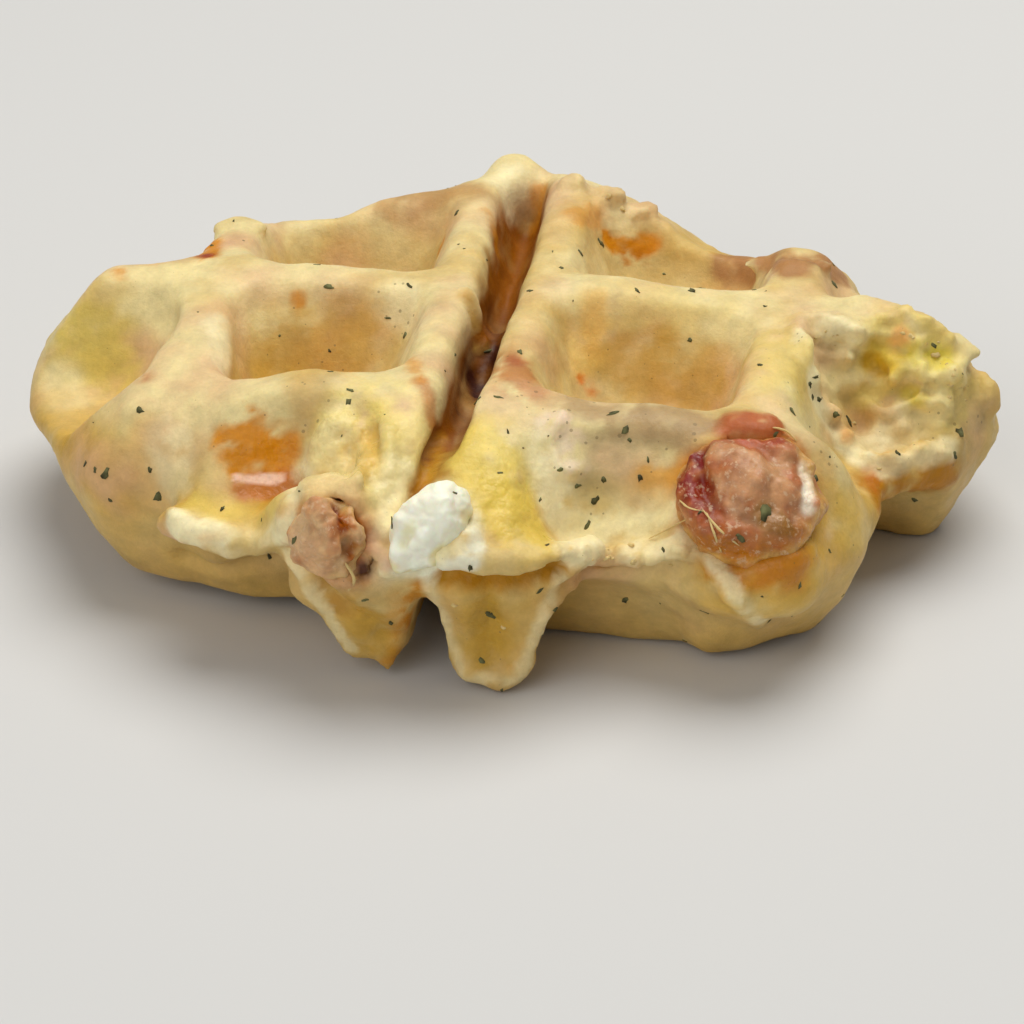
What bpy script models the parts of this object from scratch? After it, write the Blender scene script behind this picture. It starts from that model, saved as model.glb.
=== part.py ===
"""A savoury grid waffle with tomato and cheese baked in, built the way it is baked.

A lump of dough is pressed between two hot plates. What the dough and the space between the plates
have in common is the waffle: a web with deep tapered pockets on both faces, ridges between them,
and a narrow groove that the plates' dividing bar leaves between the two halves. Where the dough
runs out, the ridges end in round noses and the web in a thin lip.

+Y runs along the groove, away from the front noses. +X points to the right half. +Z is up.
"""

import math

import bmesh
import bpy
from mathutils import Euler, Matrix, Vector, noise

MM = 0.001

# The iron: two plates with the same pattern, seen by the waffle as its top and underside.
THICKNESS = 26.0 * MM  # crest to crest
WEB = 3.6 * MM  # what is left between two facing pockets
PITCH = 26.4 * MM  # ridge to ridge, both ways
CREST = 4.6 * MM  # flat top of a ridge
DRAFT = math.radians(22)  # slope of a pocket's walls
POCKET_ROUND = 3.6 * MM  # rounding of a pocket's upright corners
FLOOR_ROUND = 1.6 * MM
GROOVE_SPREAD = 3.4 * MM  # the groove is this much wider in the underside
HALF_YAW = math.radians(1.3)  # each half turns this much outwards from the groove
HINGE_LEFT = Vector((-5.9, 4.0)) * MM  # crossing of the left half's inner ridge and middle row
HINGE_RIGHT = Vector((2.6, 4.0)) * MM

# How the soft waffle settled
LEFT_SLOPE = math.tan(math.radians(2.6))  # each half hangs down from the groove
RIGHT_SLOPE = math.tan(math.radians(3.2))
ROOF_ROUND = 9.0 * MM
TWIST = math.tan(math.radians(2.4))  # the right half leans forwards, the left one backwards
TWIST_ROUND = 8.0 * MM
BOW = 0.85  # the groove's two ends lie this much to the left, times distance squared

# The dough: how far it spread from the middle, at the height of the web.
OUTLINE = (
    # direction in degrees from +X, reach in mm
    (5, 52.0),  # end of the right half's middle row
    (-5, 48.5),
    (-15, 42.0),  # notch
    (-24, 44.5),
    (-32, 47.0),  # front right corner
    (-41, 46.5),
    (-48, 44.0),
    (-56, 37.4),
    (-67, 35.8),  # lip of the right front pocket
    (-75, 37.0),
    (-84, 41.0),  # nose right of the groove
    (-93, 40.0),
    (-103, 43.5),  # nose left of the groove
    (-113, 40.2),
    (-123, 41.2),  # lip of the left front pocket
    (-137, 41.6),
    (-149, 48.0),  # front left corner
    (-163, 49.0),
    (-176, 52.3),
    (175, 53.0),  # end of the left half's middle row
    (162, 49.0),
    (149, 45.5),
    (138, 46.0),  # back end of the left half's outer ridge
    (126, 43.0),
    (112, 40.5),
    (100, 42.5),  # where the dough ran on through the groove
    (82, 42.3),
    (68, 40.5),
    (56, 40.0),
    (44, 43.0),  # back end of the right half's outer ridge
    (32, 44.5),
    (20, 50.0),
)
FULLNESS_TOP = 1.85  # over 1, the dough fills the iron before it thins out
FULLNESS_UNDER = 2.5
THIN_SIDES = (
    # direction in degrees, loss of fullness, half-width in degrees
    (128, 0.62, 26),
    (48, 0.62, 24),
    (90, 0.22, 14),
)
RIM_POWER = 3.4  # higher is a blunter rim
TOP_CURVE = 0.75  # 1 is a straight slope up from the lip, lower is rounder
UNDER_CURVE = 0.95

# Places where the dough did not quite fill the iron
LOW_SPOTS = (
    # x, y in mm, face (1 top, -1 underside), depth in mm, radius in mm
    (-32, -21, 1, 3.2, 9),  # crossing of the left half's outer ridge and front row
    (3, -40, 1, 6.5, 10),  # nose right of the groove
    (-9, -42, 1, 5.0, 9),  # nose left of the groove
    (13, 33, 1, 3.0, 9),
    (7, 40, 1, 2.6, 7),  # back ends of the two inner ridges
    (-11, 40, 1, 2.6, 7),
    (22, 28, 1, 5.0, 9),
    (33, -30, 1, 2.5, 9),
    (30, -26, -1, 2.2, 12),
    (-36, -26, -1, 1.5, 12),
)
# Dough that ran on past the pattern, as rounded lumps
LUMPS = (
    # centre in mm, radii in mm
    ((-4.0, 35.0, 4.0), (3.6, 3.8, 8.0)),  # pillar at the back end of the groove
    ((-4.0, 35.2, 9.4), (3.9, 3.8, 4.6)),
    ((-2.4, -1.5, 3.0), (3.6, 5.5, 4.5)),  # bridge across the groove
    ((3.0, -35.0, 3.2), (6.2, 6.0, 4.4)),  # nose right of the groove
    ((4.8, -36.4, 2.0), (9.0, 3.2, 2.4)),
    ((-10.4, -36.8, 3.0), (5.4, 6.0, 5.0)),  # nose left of the groove
    ((-14.6, -34.6, 2.6), (4.6, 4.4, 4.0)),
    ((4.2, -36.0, -3.0), (6.6, 2.7, 4.0)),  # tooth under the right nose
    ((4.2, -35.2, -8.6), (4.7, 2.6, 5.0)),
    ((-11.6, -35.2, -4.6), (5.6, 2.9, 4.2)),  # tooth under the left nose
    ((-8.6, -34.6, -9.0), (3.8, 2.7, 4.7)),
    ((-28.0, -32.6, 0.2), (3.6, 2.8, 2.0)),  # thick lip of the left front pocket
    ((-23.6, -34.0, 0.0), (4.6, 2.5, 2.0)),
    ((28.8, -29.4, 0.8), (8.8, 7.0, 5.4)),  # front end of the right outer ridge
    ((38.5, 13.5, 3.0), (8.0, 6.0, 4.6)),  # back right corner
)

# The mesh
VOXEL = 1.1 * MM
SMOOTH_STEPS = 6
TRIANGLES = 8600
SWELL_SIZES = (
    # wavelength in mm, height in mm
    (11.0, 0.75),
    (5.0, 0.35),
)
GAP = 0.3 * MM  # kept between a baked-in piece and the dough
FLOOR = -13.9 * MM  # the lowest crests are pressed flat here, where the waffle rests

# Pieces baked into the dough
PIECES = (
    # name, material, centre in mm, radii in mm, turn in degrees, wrinkle depth in mm
    ("tomato_large", "tomato", (27.6, -29.2, 5.4), (6.9, 7.2, 4.6), (38, 6, 16), 1.2),
    ("tomato_small", "tomato", (-12.7, -40.4, 4.4), (3.8, 2.5, 4.4), (14, 12, 0), 0.8),
    ("cheese", "cheese", (-3.0, -38.8, 5.6), (3.2, 2.8, 4.8), (-8, 38, 0), 0.5),
)

# Colours as linear red, green, blue, with roughness
MATERIALS = {
    "dough": ((0.55, 0.37, 0.13), 0.55),
    "tomato": ((0.34, 0.065, 0.025), 0.35),
    "cheese": ((0.80, 0.80, 0.60), 0.42),
}


def remove_everything():
    for obj in list(bpy.data.objects):
        bpy.data.objects.remove(obj)


def add_collection(name, hidden=False):
    found = bpy.data.collections.new(name)
    bpy.context.scene.collection.children.link(found)
    found.hide_render = hidden
    return found


def add_object(name, bm, collection):
    mesh = bpy.data.meshes.new(name)
    bm.to_mesh(mesh)
    bm.free()
    obj = bpy.data.objects.new(name, mesh)
    collection.objects.link(obj)
    return obj


def as_helper(obj):
    obj.hide_render = True
    obj.display_type = "WIRE"
    return obj


def bump(angle, centre, width):
    """1 at the centre direction, falling to 0 over about twice the width. All in degrees."""
    away = (angle - centre + 180.0) % 360.0 - 180.0
    return math.exp(-((away / width) ** 2))


def reach(angle):
    """How far the dough spread in a direction: eased from one point of the outline to the next."""
    points = sorted((direction % 360.0, size) for direction, size in OUTLINE)
    after = next((i for i, point in enumerate(points) if point[0] > angle % 360.0), 0)
    (at_a, size_a), (at_b, size_b) = points[after - 1], points[after]
    t = ((angle - at_a) % 360.0) / ((at_b - at_a) % 360.0)
    return (size_a + (size_b - size_a) * t * t * (3.0 - 2.0 * t)) * MM


def fullness(angle, face):
    most = FULLNESS_TOP if face > 0 else FULLNESS_UNDER
    return most - sum(loss * bump(angle, at, width) for at, loss, width in THIN_SIDES)


def low_spot(x, y, face):
    """How far the dough stays below the iron at a place, in metres."""
    return sum(
        depth * MM * math.exp(-((x / MM - at_x) ** 2 + (y / MM - at_y) ** 2) / size ** 2)
        for at_x, at_y, side, depth, size in LOW_SPOTS
        if side == face
    )


def make_dough(collection):
    """The pressed lump: a sphere pulled out to the reach and pressed flat by the plates."""
    bm = bmesh.new()
    bmesh.ops.create_uvsphere(bm, u_segments=144, v_segments=64, radius=1.0)
    for vert in bm.verts:
        flat = math.hypot(vert.co.x, vert.co.y)
        angle = math.degrees(math.atan2(vert.co.y, vert.co.x))
        out = flat ** 0.55
        face = 1 if vert.co.z > 0 else -1
        height = max(0.0, 1.0 - out ** RIM_POWER) ** (TOP_CURVE if face > 0 else UNDER_CURVE)
        height = min(1.0, fullness(angle, face) * height) * THICKNESS / 2
        x = out * reach(angle) * math.cos(math.radians(angle))
        y = out * reach(angle) * math.sin(math.radians(angle))
        height = max(0.0, height - low_spot(x, y, face) * height / (THICKNESS / 2))
        vert.co = (x, y, face * height if abs(vert.co.z) > 1e-6 else 0.0)
    bmesh.ops.recalc_face_normals(bm, faces=bm.faces)
    return add_object("dough_blank", bm, collection)


def half_frame(side):
    """Placement of one half's grid: its inner ridge lies on local X = 0, its middle row on Y = 0."""
    hinge = HINGE_RIGHT if side > 0 else HINGE_LEFT
    return Matrix.Translation((hinge.x, hinge.y, 0)) @ Matrix.Rotation(-side * HALF_YAW, 4, "Z")


def add_pocket(name, place, face, collection):
    """A tapered square plug of the iron. face is 1 for the top plate and -1 for the bottom one."""
    depth = (THICKNESS - WEB) / 2
    over = 3.0 * MM  # stands this far out of the dough
    bm = bmesh.new()
    bmesh.ops.create_cube(bm, size=2.0)
    for vert in bm.verts:
        z = WEB / 2 if vert.co.z < 0 else THICKNESS / 2 + over
        out = (z - THICKNESS / 2) * math.tan(DRAFT)
        x = y = (PITCH - CREST) / 2 + out
        vert.co = (math.copysign(x, vert.co.x), math.copysign(y, vert.co.y), z)
    upright = [e for e in bm.edges if abs(e.verts[0].co.z - e.verts[1].co.z) > depth / 2]
    bmesh.ops.bevel(bm, geom=upright, offset=POCKET_ROUND, segments=3, affect="EDGES", profile=0.5)
    floor = [e for e in bm.edges if max(v.co.z for v in e.verts) < WEB / 2 + 0.01 * MM]
    bmesh.ops.bevel(bm, geom=floor, offset=FLOOR_ROUND, segments=2, affect="EDGES", profile=0.5)
    if face < 0:
        bmesh.ops.scale(bm, verts=bm.verts, vec=(1, 1, -1))
        bmesh.ops.reverse_faces(bm, faces=bm.faces)
    obj = add_object(name, bm, collection)
    obj.matrix_world = place
    return as_helper(obj)


def add_groove(name, face, collection):
    """The dividing bar: a wedge, narrow in front and at its edge, wide behind and at its root."""
    bm = bmesh.new()
    bmesh.ops.create_cube(bm, size=2.0)
    depth = (THICKNESS - WEB) / 2
    over = 3.0 * MM
    ends = 60.0 * MM
    middle = (HINGE_LEFT.x + HINGE_RIGHT.x) / 2
    crest_gap = HINGE_RIGHT.x - HINGE_LEFT.x - CREST
    for vert in bm.verts:
        y = math.copysign(ends, vert.co.y)
        gap = crest_gap + 2 * (y - HINGE_LEFT.y) * math.tan(HALF_YAW)
        gap = max(gap, 0.6 * MM) + (0.0 if face > 0 else GROOVE_SPREAD)
        if vert.co.z > 0:
            half, z = gap / 2 + over * math.tan(DRAFT), THICKNESS / 2 + over
        else:
            half, z = gap / 2 * 0.35, THICKNESS / 2 - depth * 0.94
        vert.co = (middle + math.copysign(half, vert.co.x), y, z)
    if face < 0:
        bmesh.ops.scale(bm, verts=bm.verts, vec=(1, 1, -1))
        bmesh.ops.reverse_faces(bm, faces=bm.faces)
    return as_helper(add_object(name, bm, collection))


def make_iron(collection):
    """Every plug and bar of the two plates that can reach the dough."""
    for face, plate in ((1, "top"), (-1, "bottom")):
        add_groove(f"iron_{plate}_groove", face, collection)
        for side, half in ((-1, "left"), (1, "right")):
            for column in range(2):
                for row in range(-2, 3):
                    local = (side * (column + 0.5) * PITCH, (row + 0.5) * PITCH, 0)
                    place = half_frame(side) @ Matrix.Translation(local)
                    add_pocket(f"iron_{plate}_{half}_{column}_{row + 2}", place, face, collection)


def add_modifier(obj, kind, **settings):
    found = obj.modifiers.new(kind.title(), kind)
    for name, value in settings.items():
        setattr(found, name, value)
    return found


def evaluated(obj, name, collection):
    """A plain mesh object of what obj's modifiers make."""
    graph = bpy.context.evaluated_depsgraph_get()
    mesh = bpy.data.meshes.new_from_object(obj.evaluated_get(graph))
    mesh.transform(obj.matrix_world)
    mesh.name = name
    found = bpy.data.objects.new(name, mesh)
    collection.objects.link(found)
    return found


def add_lumps(obj):
    """Puts the rounded lumps into obj's mesh, for the remesh to fuse."""
    bm = bmesh.new()
    bm.from_mesh(obj.data)
    for centre, radii in LUMPS:
        place = Matrix.Translation(Vector(centre) * MM) @ Matrix.Diagonal((*(Vector(radii) * MM), 1.0))
        bmesh.ops.create_uvsphere(bm, u_segments=24, v_segments=16, radius=1.0, matrix=place)
    bm.to_mesh(obj.data)
    bm.free()


def swell(obj):
    """Uneven rise of the dough: the surface goes in and out a little everywhere."""
    mesh = obj.data
    moves = []
    for vert in mesh.vertices:
        height = sum(
            size * MM * noise.noise(vert.co / (wave * MM)) for wave, size in SWELL_SIZES
        )
        moves.append(vert.normal * height)
    for vert, move in zip(mesh.vertices, moves):
        vert.co += move


def settle(obj):
    """Lets both halves hang from the groove and lean against each other, as a soft waffle does."""
    for vert in obj.data.vertices:
        x, y = vert.co.x, vert.co.y
        slope = RIGHT_SLOPE if x > 0 else LEFT_SLOPE
        vert.co.z -= slope * (math.hypot(x, ROOF_ROUND) - ROOF_ROUND)
        vert.co.z += TWIST * y * math.tanh(x / TWIST_ROUND)
        vert.co.x -= BOW * (y - HINGE_LEFT.y) ** 2


def add_material(name):
    colour, roughness = MATERIALS[name]
    found = bpy.data.materials.new(name)
    found.use_nodes = True
    shader = found.node_tree.nodes["Principled BSDF"]
    shader.inputs["Base Color"].default_value = (*colour, 1.0)
    shader.inputs["Roughness"].default_value = roughness
    shader.inputs["Metallic"].default_value = 0.0
    found.diffuse_color = (*colour, 1.0)
    return found


def add_piece(name, centre, radii, turn, wrinkle, grow, collection):
    """A rounded, wrinkled piece. grow widens it all round, for cutting its socket."""
    bm = bmesh.new()
    bmesh.ops.create_icosphere(bm, subdivisions=3, radius=1.0)
    rotation = Euler([math.radians(a) for a in turn]).to_matrix()
    size = Vector(radii) * MM
    for vert in bm.verts:
        unit = vert.co.normalized()
        fold = noise.noise(unit * 1.6 + Vector(centre)) + 0.4 * noise.noise(unit * 3.7 + Vector(centre))
        shape = Vector(unit[i] * size[i] for i in range(3))
        away = wrinkle * MM * fold + grow
        vert.co = Vector(centre) * MM + rotation @ (shape + unit * away)
    return add_object(name, bm, collection)


def press_flat(obj, collection):
    """Cuts the lowest crests off at the resting plane."""
    bm = bmesh.new()
    bmesh.ops.create_cube(bm, size=1.0)
    below = 20.0 * MM
    bmesh.ops.scale(bm, verts=bm.verts, vec=(200 * MM, 200 * MM, below))
    bmesh.ops.translate(bm, verts=bm.verts, vec=(0, 0, FLOOR - below / 2))
    floor = as_helper(add_object("floor", bm, collection))
    add_modifier(obj, "BOOLEAN", operation="DIFFERENCE", object=floor)


def move_to_base(objects):
    """Puts the origin under the middle of everything, on the resting plane."""
    corners = [vert.co for obj in objects for vert in obj.data.vertices]
    low = Vector(min(co[i] for co in corners) for i in range(3))
    high = Vector(max(co[i] for co in corners) for i in range(3))
    shift = Vector((-(low.x + high.x) / 2, -(low.y + high.y) / 2, -low.z))
    for obj in objects:
        obj.data.transform(Matrix.Translation(shift))


def build():
    remove_everything()
    parts = add_collection("basil_tomato_waffle")
    helpers = add_collection("helpers", hidden=True)
    iron = add_collection("iron", hidden=True)
    sockets = add_collection("sockets", hidden=True)
    blank = as_helper(make_dough(helpers))
    make_iron(iron)
    add_modifier(blank, "BOOLEAN", operation="DIFFERENCE", operand_type="COLLECTION", collection=iron)
    pressed = as_helper(evaluated(blank, "pressed", helpers))
    add_lumps(pressed)
    add_modifier(pressed, "REMESH", mode="VOXEL", voxel_size=VOXEL)
    add_modifier(pressed, "SMOOTH", factor=0.5, iterations=SMOOTH_STEPS)
    risen = as_helper(evaluated(pressed, "risen", helpers))
    swell(risen)
    settle(risen)
    faces = 2 * len(risen.data.polygons)
    add_modifier(risen, "DECIMATE", ratio=TRIANGLES / faces)
    press_flat(risen, helpers)
    for name, slot, centre, radii, turn, wrinkle in PIECES:
        as_helper(add_piece(f"socket_{name}", centre, radii, turn, wrinkle, GAP, sockets))
    add_modifier(risen, "BOOLEAN", operation="DIFFERENCE", operand_type="COLLECTION", collection=sockets)
    waffle = evaluated(risen, "waffle", parts)
    solids = [waffle]
    for name, slot, centre, radii, turn, wrinkle in PIECES:
        solids.append(add_piece(name, centre, radii, turn, wrinkle, 0.0, parts))
    move_to_base(solids)
    made = {name: add_material(name) for name in MATERIALS}
    slots = ["dough"] + [slot for name, slot, centre, radii, turn, wrinkle in PIECES]
    for obj, slot in zip(solids, slots):
        obj.data.materials.clear()
        obj.data.materials.append(made[slot])
        obj.data.shade_smooth()
    for name in ("helpers", "iron", "sockets"):
        for obj in list(bpy.data.collections[name].objects):
            bpy.data.objects.remove(obj)


if __name__ == "__main__":
    build()
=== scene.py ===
import math
import random

import bmesh
import bpy
import numpy as np
from mathutils import Matrix, Vector, noise
from mathutils.bvhtree import BVHTree


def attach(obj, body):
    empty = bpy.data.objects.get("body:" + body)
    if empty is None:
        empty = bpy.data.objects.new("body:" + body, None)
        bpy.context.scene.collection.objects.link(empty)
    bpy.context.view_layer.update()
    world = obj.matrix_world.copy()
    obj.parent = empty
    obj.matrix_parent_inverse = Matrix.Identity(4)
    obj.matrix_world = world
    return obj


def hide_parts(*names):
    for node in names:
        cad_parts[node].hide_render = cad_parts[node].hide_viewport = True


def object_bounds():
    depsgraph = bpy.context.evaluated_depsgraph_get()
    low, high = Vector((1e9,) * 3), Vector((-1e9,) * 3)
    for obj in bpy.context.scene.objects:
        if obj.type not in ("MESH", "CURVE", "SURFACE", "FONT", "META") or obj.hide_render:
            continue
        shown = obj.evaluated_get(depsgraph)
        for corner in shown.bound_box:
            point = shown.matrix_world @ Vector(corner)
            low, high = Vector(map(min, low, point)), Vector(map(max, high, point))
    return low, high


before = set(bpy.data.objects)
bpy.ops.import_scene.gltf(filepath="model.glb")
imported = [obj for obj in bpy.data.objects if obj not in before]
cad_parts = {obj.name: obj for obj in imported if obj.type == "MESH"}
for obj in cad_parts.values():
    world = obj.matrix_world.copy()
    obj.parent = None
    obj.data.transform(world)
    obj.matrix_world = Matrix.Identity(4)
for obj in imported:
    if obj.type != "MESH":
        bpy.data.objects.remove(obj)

MM = 0.001
cad_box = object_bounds()
bpy.context.scene.view_settings.view_transform = "Standard"

# Camera: the photograph's view, 27 degrees down and 8 degrees round to the right
ELEVATION = math.radians(27.3)
AZIMUTH = math.radians(7.7)
DISTANCE = 0.5
FOCAL_PX = 4700.0
SIZE_PX = 1024
SENSOR = 36
MIDDLE = Vector((0.42, 0.55, 13.9)) * MM  # the waffle's middle, where the groove's bridge is
MIDDLE_PX = (512.0, 400.0)

back = Vector((
    math.sin(AZIMUTH) * math.cos(ELEVATION),
    -math.cos(AZIMUTH) * math.cos(ELEVATION),
    math.sin(ELEVATION),
))
EYE = MIDDLE + back * DISTANCE
VIEW = -back
SIDE = VIEW.cross(Vector((0, 0, 1))).normalized()
UP = SIDE.cross(VIEW)

camera = bpy.data.cameras.new("camera")
camera.sensor_fit = "HORIZONTAL"
camera.sensor_width = SENSOR
camera.lens = FOCAL_PX / SIZE_PX * SENSOR
camera.shift_y = -(SIZE_PX / 2 - MIDDLE_PX[1]) / SIZE_PX
camera.clip_start = 0.01
camera.clip_end = 20
camera.dof.use_dof = False
camera_object = bpy.data.objects.new("camera", camera)
bpy.context.scene.collection.objects.link(camera_object)
camera_object.location = EYE
camera_object.rotation_euler = VIEW.to_track_quat("-Z", "Y").to_euler()
bpy.context.scene.camera = camera_object


def sight(u, v):
    """Direction of the line of sight through a pixel."""
    across = (u - MIDDLE_PX[0]) / FOCAL_PX
    down = (v - MIDDLE_PX[1]) / FOCAL_PX
    return (VIEW + SIDE * across - UP * down).normalized()


def hit(tree, u, v):
    """Where the line of sight through a pixel meets a surface, and the surface's normal there.

    A line that misses takes the place it passes closest to, tried every 2 mm near the waffle.
    """
    direction = sight(u, v)
    place, normal, _, _ = tree.ray_cast(EYE, direction)
    if place is None:
        tries = [EYE + direction * (DISTANCE + k * 2 * MM) for k in range(-30, 31)]
        passes = [tree.find_nearest(point) for point in tries]
        place, normal, _, _ = min(passes, key=lambda found: found[3])
    return place, normal


def hits(tree, pixels):
    return [hit(tree, u, v)[0] for u, v in pixels]


# Mesh tools
WELD = 0.001 * MM


def new_object(name, bm):
    mesh = bpy.data.meshes.new(name)
    bm.to_mesh(mesh)
    bm.free()
    obj = bpy.data.objects.new(name, mesh)
    bpy.context.scene.collection.objects.link(obj)
    return obj


def copy_of_node(node_name, name, levels):
    """A CAD node's solid under a new name, subdivided smoothly."""
    bm = bmesh.new()
    bm.from_mesh(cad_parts[node_name].data)
    bmesh.ops.remove_doubles(bm, verts=bm.verts, dist=WELD)
    obj = new_object(name, bm)
    return apply_modifiers(obj, ("SUBSURF", {"levels": levels, "render_levels": levels}))


def apply_modifiers(obj, *modifiers):
    """Adds modifiers, given as kind and settings, and bakes them into obj's mesh."""
    for kind, settings in modifiers:
        made = obj.modifiers.new(kind.title(), kind)
        for name, value in settings.items():
            setattr(made, name, value)
    graph = bpy.context.evaluated_depsgraph_get()
    mesh = bpy.data.meshes.new_from_object(obj.evaluated_get(graph))
    obj.modifiers.clear()
    old = obj.data
    obj.data = mesh
    bpy.data.meshes.remove(old)
    return obj


def tree_of(obj):
    mesh = obj.data
    return BVHTree.FromPolygons([v.co for v in mesh.vertices], [p.vertices for p in mesh.polygons])


def join_rings(bm, rings):
    """Faces between rings of points, and a lid on the first and last."""
    sides = len(rings[0])
    for a, b in zip(rings, rings[1:]):
        for k in range(sides):
            bm.faces.new((a[k], a[(k + 1) % sides], b[(k + 1) % sides], b[k]))
    bm.faces.new(rings[0][::-1])
    bm.faces.new(rings[-1])


def add_blob(bm, centre, radii, rough, wave, seed, level=3):
    """A rounded lump with an uneven surface. centre in metres, radii, rough and wave in mm."""
    made = bmesh.ops.create_icosphere(bm, subdivisions=level, radius=1.0)
    for vert in made["verts"]:
        unit = vert.co.normalized()
        place = Vector(unit[i] * radii[i] * MM for i in range(3))
        away = rough * MM * noise.noise(place / (wave * MM) + Vector((seed, 2.3 * seed, 0)))
        vert.co = centre + place + unit * away


STEPS = 6  # of a roll between two points
TIP = 0.35  # width of a roll's end against its last radius


def smooth_path(points, values, steps):
    """A curve through all points, steps to a stretch, with the values changing evenly along it."""
    path = []
    for i in range(len(points) - 1):
        p0, p1 = points[max(i - 1, 0)], points[i]
        p2, p3 = points[i + 1], points[min(i + 2, len(points) - 1)]
        for k in range(steps):
            t = k / steps
            place = 0.5 * (
                2 * p1 + (p2 - p0) * t
                + (2 * p0 - 5 * p1 + 4 * p2 - p3) * t ** 2
                + (3 * p1 - p0 - 3 * p2 + p3) * t ** 3
            )
            path.append((place, values[i] + (values[i + 1] - values[i]) * t))
    path.append((points[-1], values[-1]))
    return path


def add_tube(bm, points, radii, rough, wave, seed, sides=10):
    """A closed roll through points, narrower at its ends. radii, rough and wave in mm."""
    path = smooth_path(points, radii, STEPS)
    rings = []
    for i, (place, radius) in enumerate(path):
        along = path[min(i + 1, len(path) - 1)][0] - path[max(i - 1, 0)][0]
        along.normalize()
        across = along.cross(Vector((0, 0.3, 1))).normalized()
        over = across.cross(along)
        end = TIP if i in (0, len(path) - 1) else 1.0
        ring = []
        for k in range(sides):
            a = 2 * math.pi * k / sides
            out = across * math.cos(a) + over * math.sin(a)
            at = place + out * radius * MM * end
            at += out * rough * MM * noise.noise(at / (wave * MM) + Vector((seed, 0, seed)))
            ring.append(bm.verts.new(at))
        rings.append(ring)
    join_rings(bm, rings)


def read(mesh, what):
    """The mesh's points or normals as an array."""
    values = np.zeros(len(mesh.vertices) * 3)
    mesh.vertices.foreach_get(what, values)
    return values.reshape(-1, 3)


def set_points(mesh, co):
    mesh.vertices.foreach_set("co", co.ravel())
    mesh.update()


def noise_at(co, wave, seed, octaves=1):
    """Soft noise at every point, wave in mm, each octave half as wide and half as strong."""
    shift = Vector((seed * 7.13, seed * 3.7, seed * 1.9))
    found = np.zeros(len(co))
    for octave in range(octaves):
        size = wave * MM / 2 ** octave
        found += [noise.noise(Vector(p) / size + shift) / 2 ** octave for p in co]
    return found


def ease(t):
    """0 below 0, 1 above 1, and smooth between."""
    t = np.clip(t, 0, 1)
    return t * t * (3 - 2 * t)


def near_path(co, points, radius):
    """1 on the line through points, easing to 0 at radius (mm) from it."""
    best = np.full(len(co), np.inf)
    pairs = list(zip(points, points[1:])) or [(points[0], points[0])]
    for a, b in pairs:
        a, b = np.array(a), np.array(b)
        along = b - a
        t = np.clip((co - a) @ along / max(along @ along, 1e-12), 0, 1)
        best = np.minimum(best, np.linalg.norm(co - a - t[:, None] * along, axis=1))
    return ease(1 - best / (radius * MM))


def closeness(co, tree, reach):
    """1 at a surface, easing to 0 at reach (mm) from it."""
    limit = reach * MM
    found = [tree.find_nearest(Vector(p), limit)[3] for p in co]
    away = np.array([limit if value is None else value for value in found])
    return ease(1 - away / limit)


# The dough: the CAD solid made finer, with lumps, rolls and rims fused on
VOXEL = 0.57 * MM
LUMP_SEED = 20
skin = copy_of_node("waffle", "waffle_skin", 1)
cad_tree = tree_of(skin)


def on_dough(pixels, out):
    """Places on the dough that pixels show, raised by out (mm)."""
    found = []
    for u, v in pixels:
        place, normal = hit(cad_tree, u, v)
        found.append(place + normal * out * MM)
    return found


ROLLS = (
    # pixels along the roll, radii in mm, height over the dough, roughness, its wave
    (((168, 512), (190, 528), (225, 540), (262, 540), (290, 530)),
     (1.0, 1.5, 1.8, 1.5, 1.0), 0.1, 0.9, 2.0),
    (((565, 554), (598, 561), (640, 559), (676, 555), (704, 548)),
     (1.4, 1.4, 1.6, 1.5, 1.1), 0.0, 1.6, 1.5),
    (((700, 556), (745, 572), (785, 570), (815, 550)), (1.2, 2.0, 2.0, 1.4), -0.7, 0.6, 2.6),
    (((284, 545), (285, 515), (296, 494)), (0.8, 0.9, 0.7), 0.1, 0.4, 1.8),
    (((428, 582), (438, 612), (452, 655), (462, 672)), (0.8, 0.8, 0.8, 0.8), -0.1, 0.6, 1.5),
    (((462, 672), (490, 680), (518, 674), (532, 652)), (0.9, 1.0, 1.0, 0.8), 0.0, 0.5, 1.5),
    (((532, 652), (540, 625), (552, 600), (574, 578), (592, 566)),
     (0.7, 0.8, 0.9, 1.0, 0.9), 0.0, 0.7, 1.5),
    (((286, 552), (305, 580), (330, 620), (352, 650), (380, 662)),
     (0.9, 0.8, 0.8, 0.7, 0.6), -0.1, 0.4, 2.0),
    (((705, 548), (716, 575), (738, 600), (762, 622)), (1.0, 1.0, 1.1, 1.0), 0.1, 0.6, 1.7),
    (((445, 556), (475, 560), (515, 560), (560, 556), (598, 550)),
     (1.2, 1.4, 1.5, 1.6, 1.5), 0.5, 0.6, 2.0),
    (((440, 550), (458, 555), (472, 553), (486, 546)), (0.4, 0.7, 0.6, 0.3), 1.4, 0.5, 0.9),
    (((798, 318), (802, 352), (812, 384), (832, 424), (852, 452), (876, 468)),
     (1.2, 1.0, 0.9, 0.9, 1.0, 0.9), 0.2, 1.1, 1.5),
    (((880, 466), (905, 458), (935, 452), (962, 438)), (1.1, 1.1, 1.1, 1.0), 0.2, 1.1, 1.5),
    (((848, 360), (862, 392), (888, 412), (925, 404), (955, 416)),
     (0.7, 0.8, 0.9, 0.8, 0.8), 0.0, 1.1, 1.5),
    (((862, 340), (892, 318), (920, 322), (948, 344), (956, 370)),
     (0.8, 0.9, 1.0, 1.1, 1.0), 0.1, 1.2, 1.5),
    (((900, 366), (920, 376), (944, 372), (962, 384)), (0.8, 0.9, 0.9, 0.8), 0.1, 1.2, 1.4),
    (((872, 432), (900, 428), (930, 434)), (0.7, 0.8, 0.7), 0.0, 1.0, 1.5),
)
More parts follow.
